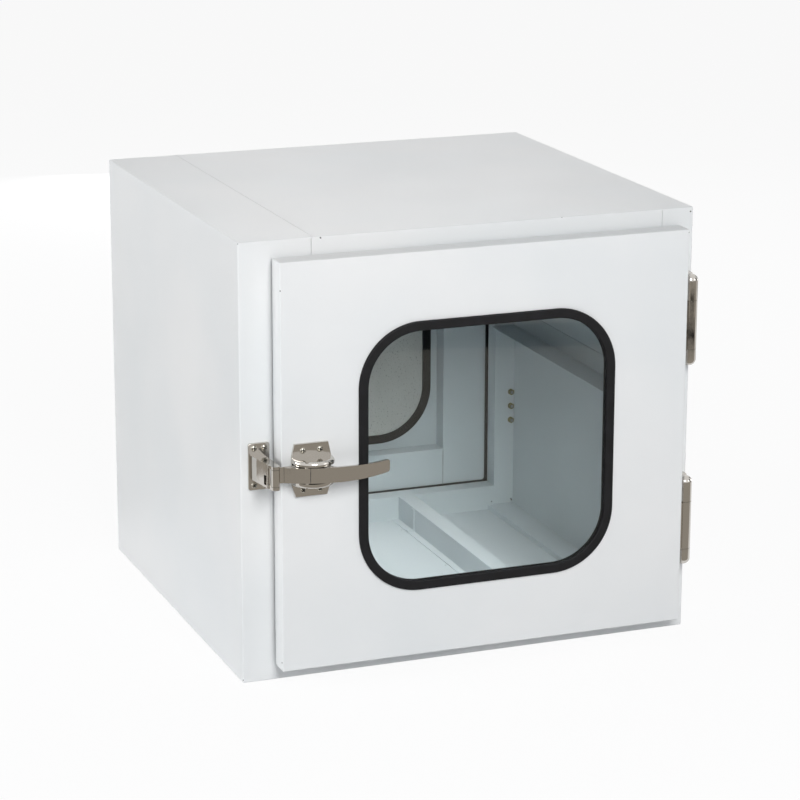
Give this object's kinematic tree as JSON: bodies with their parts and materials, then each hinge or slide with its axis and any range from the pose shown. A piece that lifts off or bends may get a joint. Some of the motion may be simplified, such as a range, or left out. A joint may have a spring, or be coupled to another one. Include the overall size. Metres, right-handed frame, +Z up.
{
  "type": "cleanroom pass box",
  "caption": "Box-shaped steel transfer hatch with a hinged glazed door on two opposite sides, rounded window rubbers, roller latches and a see-saw door interlock.",
  "frame": {"origin": "centre of the cabinet's footprint, on the face it stands on", "axes": "+X from the latch side to the hinge side, +Y from the front door to the rear door, +Z up"},
  "size_m": [0.6, 0.7, 0.555],
  "materials": {
    "white_paint": "smooth white powder coat",
    "grey_paint": "light grey powder coat",
    "black_rubber": "matt extruded rubber",
    "float_glass": "clear float glass",
    "chrome_plate": "polished chrome plate",
    "satin_steel": "satin polished",
    "zinc_plated_steel": "yellow zinc plate",
    "plain_steel": "bright zinc plate"
  },
  "bodies": {
    "casing": {"bottom_panel": "white_paint", "ceiling_liner": "grey_paint", "floor_ledges": "grey_paint", "floor_liner": "grey_paint", "front_keeper": "chrome_plate", "front_lower_hinge_base": "chrome_plate", "front_posts": "grey_paint", "front_rails": "grey_paint", "front_upper_hinge_base": "chrome_plate", "hinge_bolts": "zinc_plated_steel", "hinge_nuts": "zinc_plated_steel", "hinge_pins": "chrome_plate", "hinge_side_panel": "white_paint", "hinge_wall_liner": "grey_paint", "interlock_bracket": "plain_steel", "interlock_cover": "grey_paint", "interlock_cover_clips": "grey_paint", "interlock_pin": "plain_steel", "interlock_spring": "plain_steel", "keeper_screws": "chrome_plate", "latch_side_panel": "white_paint", "latch_wall_liner": "grey_paint", "rear_keeper": "chrome_plate", "rear_lower_hinge_base": "chrome_plate", "rear_posts": "grey_paint", "rear_rails": "grey_paint", "rear_upper_hinge_base": "chrome_plate", "roller_pins": "chrome_plate", "shelf_angles": "grey_paint", "top_panel": "white_paint"},
    "front_door": {"front_door_rails": "grey_paint", "front_door_seal": "black_rubber", "front_door_skin": "white_paint", "front_door_stiles": "grey_paint", "front_hinge_leaves": "chrome_plate", "front_interlock_strike": "plain_steel", "front_latch_base": "chrome_plate", "front_latch_pin": "chrome_plate", "front_latch_screws": "chrome_plate", "front_leaf_screws": "chrome_plate", "front_window_gasket": "black_rubber", "front_window_glass": "float_glass"},
    "rear_door": {"rear_door_rails": "grey_paint", "rear_door_seal": "black_rubber", "rear_door_skin": "white_paint", "rear_door_stiles": "grey_paint", "rear_hinge_leaves": "chrome_plate", "rear_interlock_strike": "plain_steel", "rear_latch_base": "chrome_plate", "rear_latch_pin": "chrome_plate", "rear_latch_screws": "chrome_plate", "rear_leaf_screws": "chrome_plate", "rear_window_gasket": "black_rubber", "rear_window_glass": "float_glass"},
    "front_handle": {"front_latch_handle": "satin_steel"},
    "rear_handle": {"rear_latch_handle": "satin_steel"},
    "front_roller": {"front_keeper_roller": "chrome_plate"},
    "rear_roller": {"rear_keeper_roller": "chrome_plate"},
    "interlock_lever": {"interlock_lever": "plain_steel"}
  },
  "joints": [
    {"name": "front_door_swing", "type": "hinge", "parent": "casing", "child": "front_door", "pos_m": [0.2895, -0.298, 0.2775], "axis": [0, 0, 1], "range_deg": [0, 120]},
    {"name": "front_handle_turn", "type": "hinge", "parent": "front_door", "child": "front_handle", "pos_m": [-0.235, -0.338, 0.2775], "axis": [0, 0, -1], "range_deg": [0, 22]},
    {"name": "front_roller_spin", "type": "hinge", "parent": "casing", "child": "front_roller", "pos_m": [-0.274, -0.335, 0.2775], "axis": [0, 0, 1], "continuous": true},
    {"name": "rear_door_swing", "type": "hinge", "parent": "casing", "child": "rear_door", "pos_m": [0.2895, 0.298, 0.2775], "axis": [0, 0, -1], "range_deg": [0, 120]},
    {"name": "rear_handle_turn", "type": "hinge", "parent": "rear_door", "child": "rear_handle", "pos_m": [-0.235, 0.338, 0.2775], "axis": [0, 0, 1], "range_deg": [0, 22]},
    {"name": "rear_roller_spin", "type": "hinge", "parent": "casing", "child": "rear_roller", "pos_m": [-0.274, 0.335, 0.2775], "axis": [0, 0, 1], "continuous": true},
    {"name": "interlock_tilt", "type": "hinge", "parent": "casing", "child": "interlock_lever", "pos_m": [0.123, 0, 0.031], "axis": [1, 0, 0], "range_deg": [-0.6, 0.6], "stiffness_Nm_per_rad": 0.6}
  ]
}
